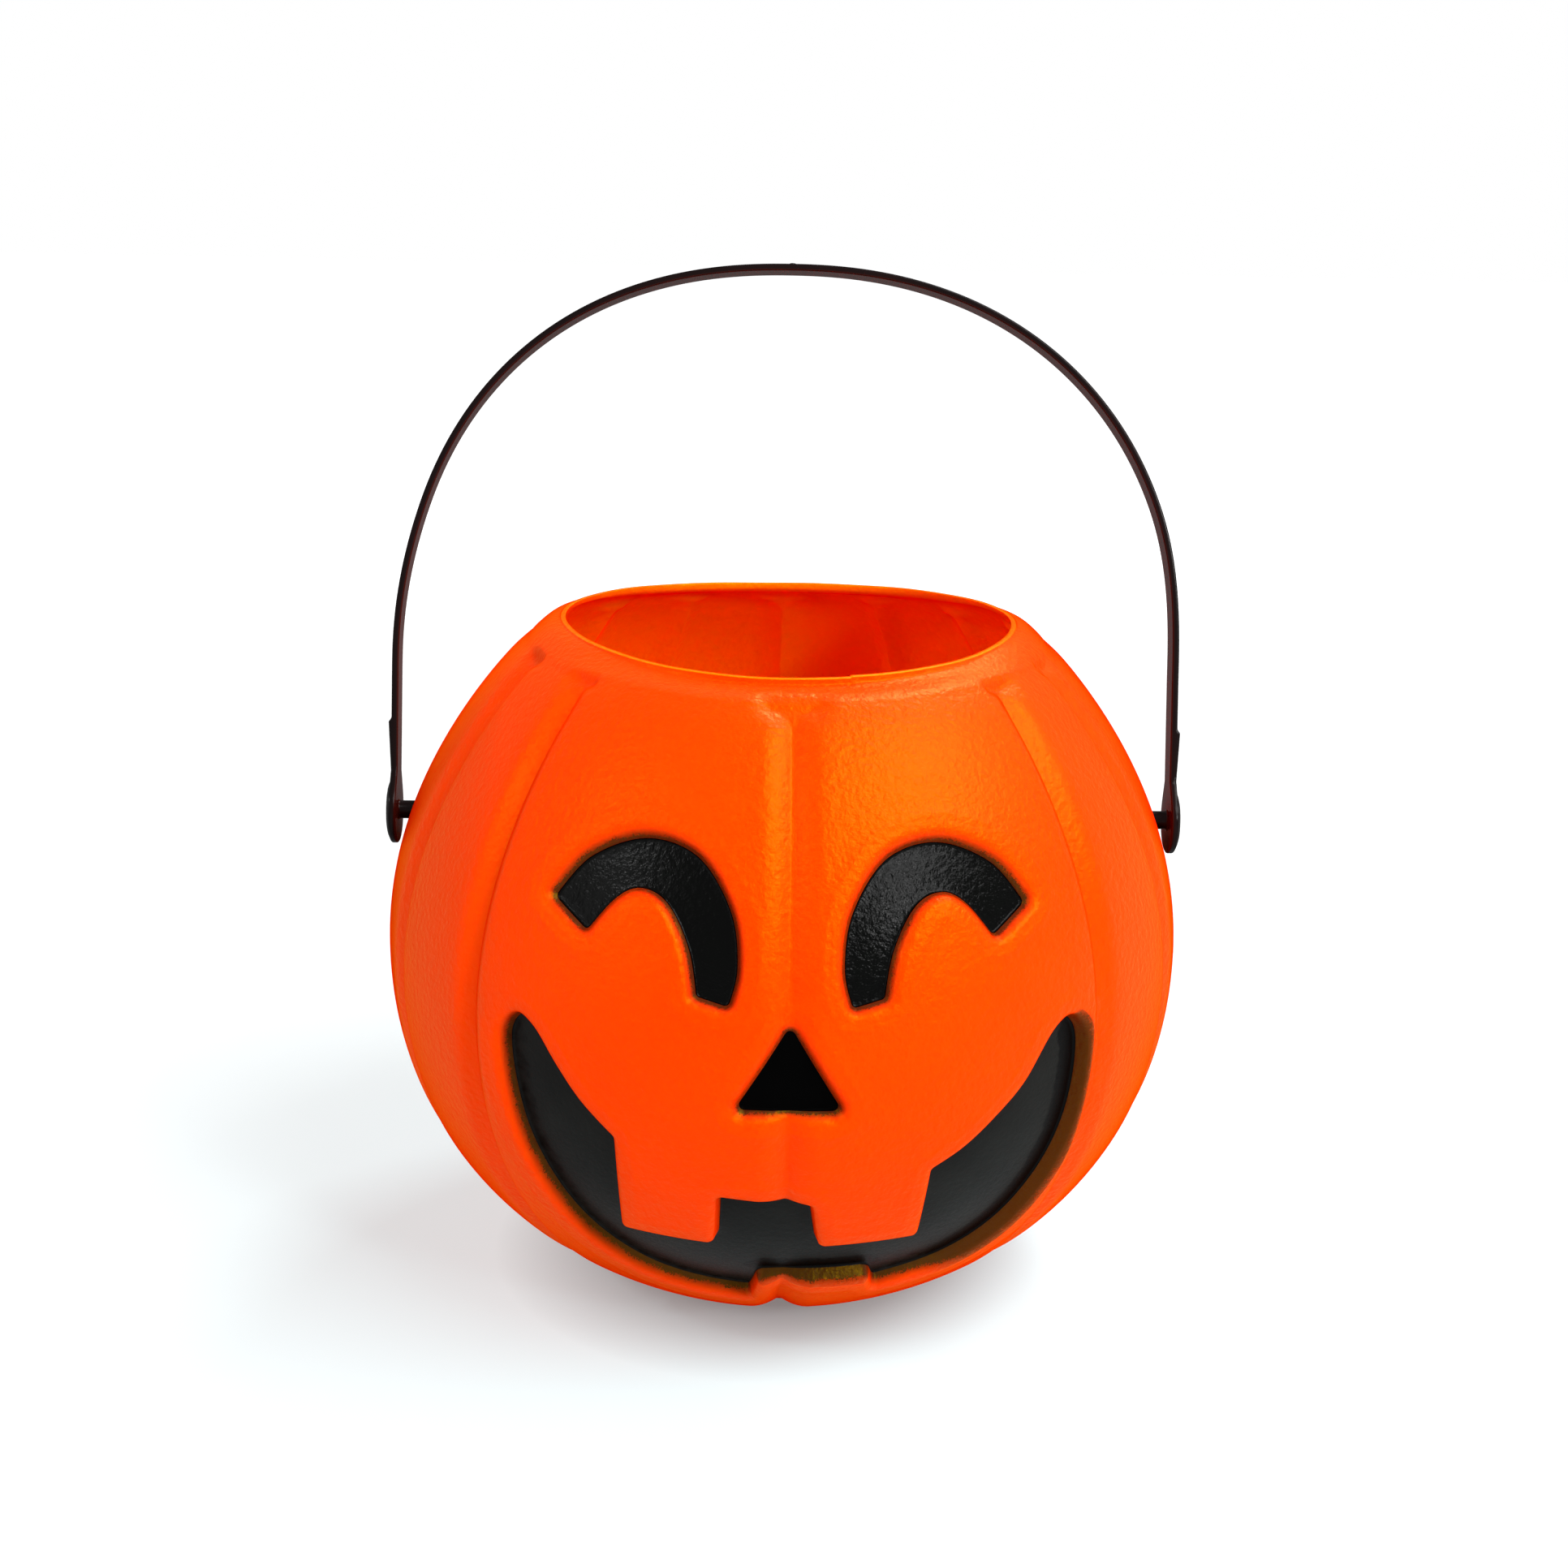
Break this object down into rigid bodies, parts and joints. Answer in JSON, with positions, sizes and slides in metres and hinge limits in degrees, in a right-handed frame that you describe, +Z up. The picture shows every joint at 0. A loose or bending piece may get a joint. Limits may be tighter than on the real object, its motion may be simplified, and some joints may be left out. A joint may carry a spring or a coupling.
{
  "type": "trick-or-treat bucket",
  "caption": "Round pumpkin-shaped plastic bucket with an open top, a sunk smiling jack-o'-lantern face and a swinging strap handle.",
  "frame": {"origin": "centre of the base, on the surface that the bucket stands on", "axes": "+Z up, -Y out of the face, X along the handle's hinge"},
  "size_m": [0.202, 0.1993, 0.2561],
  "materials": {
    "orange_plastic": "satin blow-moulded polyethylene",
    "black_paint": "sprayed paint with an orange-peel sheen",
    "black_plastic": "smooth moulded plastic"
  },
  "bodies": {
    "bucket": {"bucket_shell": "orange_plastic", "eye_left_paint": "black_paint", "eye_right_paint": "black_paint", "nose_paint": "black_paint", "mouth_paint": "black_paint"},
    "handle": {"handle": "black_plastic"}
  },
  "joints": [
    {"name": "handle_swing", "type": "hinge", "parent": "bucket", "child": "handle", "pos_m": [0, 0, 0.1195], "axis": [1, 0, 0], "range_deg": [-116, 144]}
  ]
}
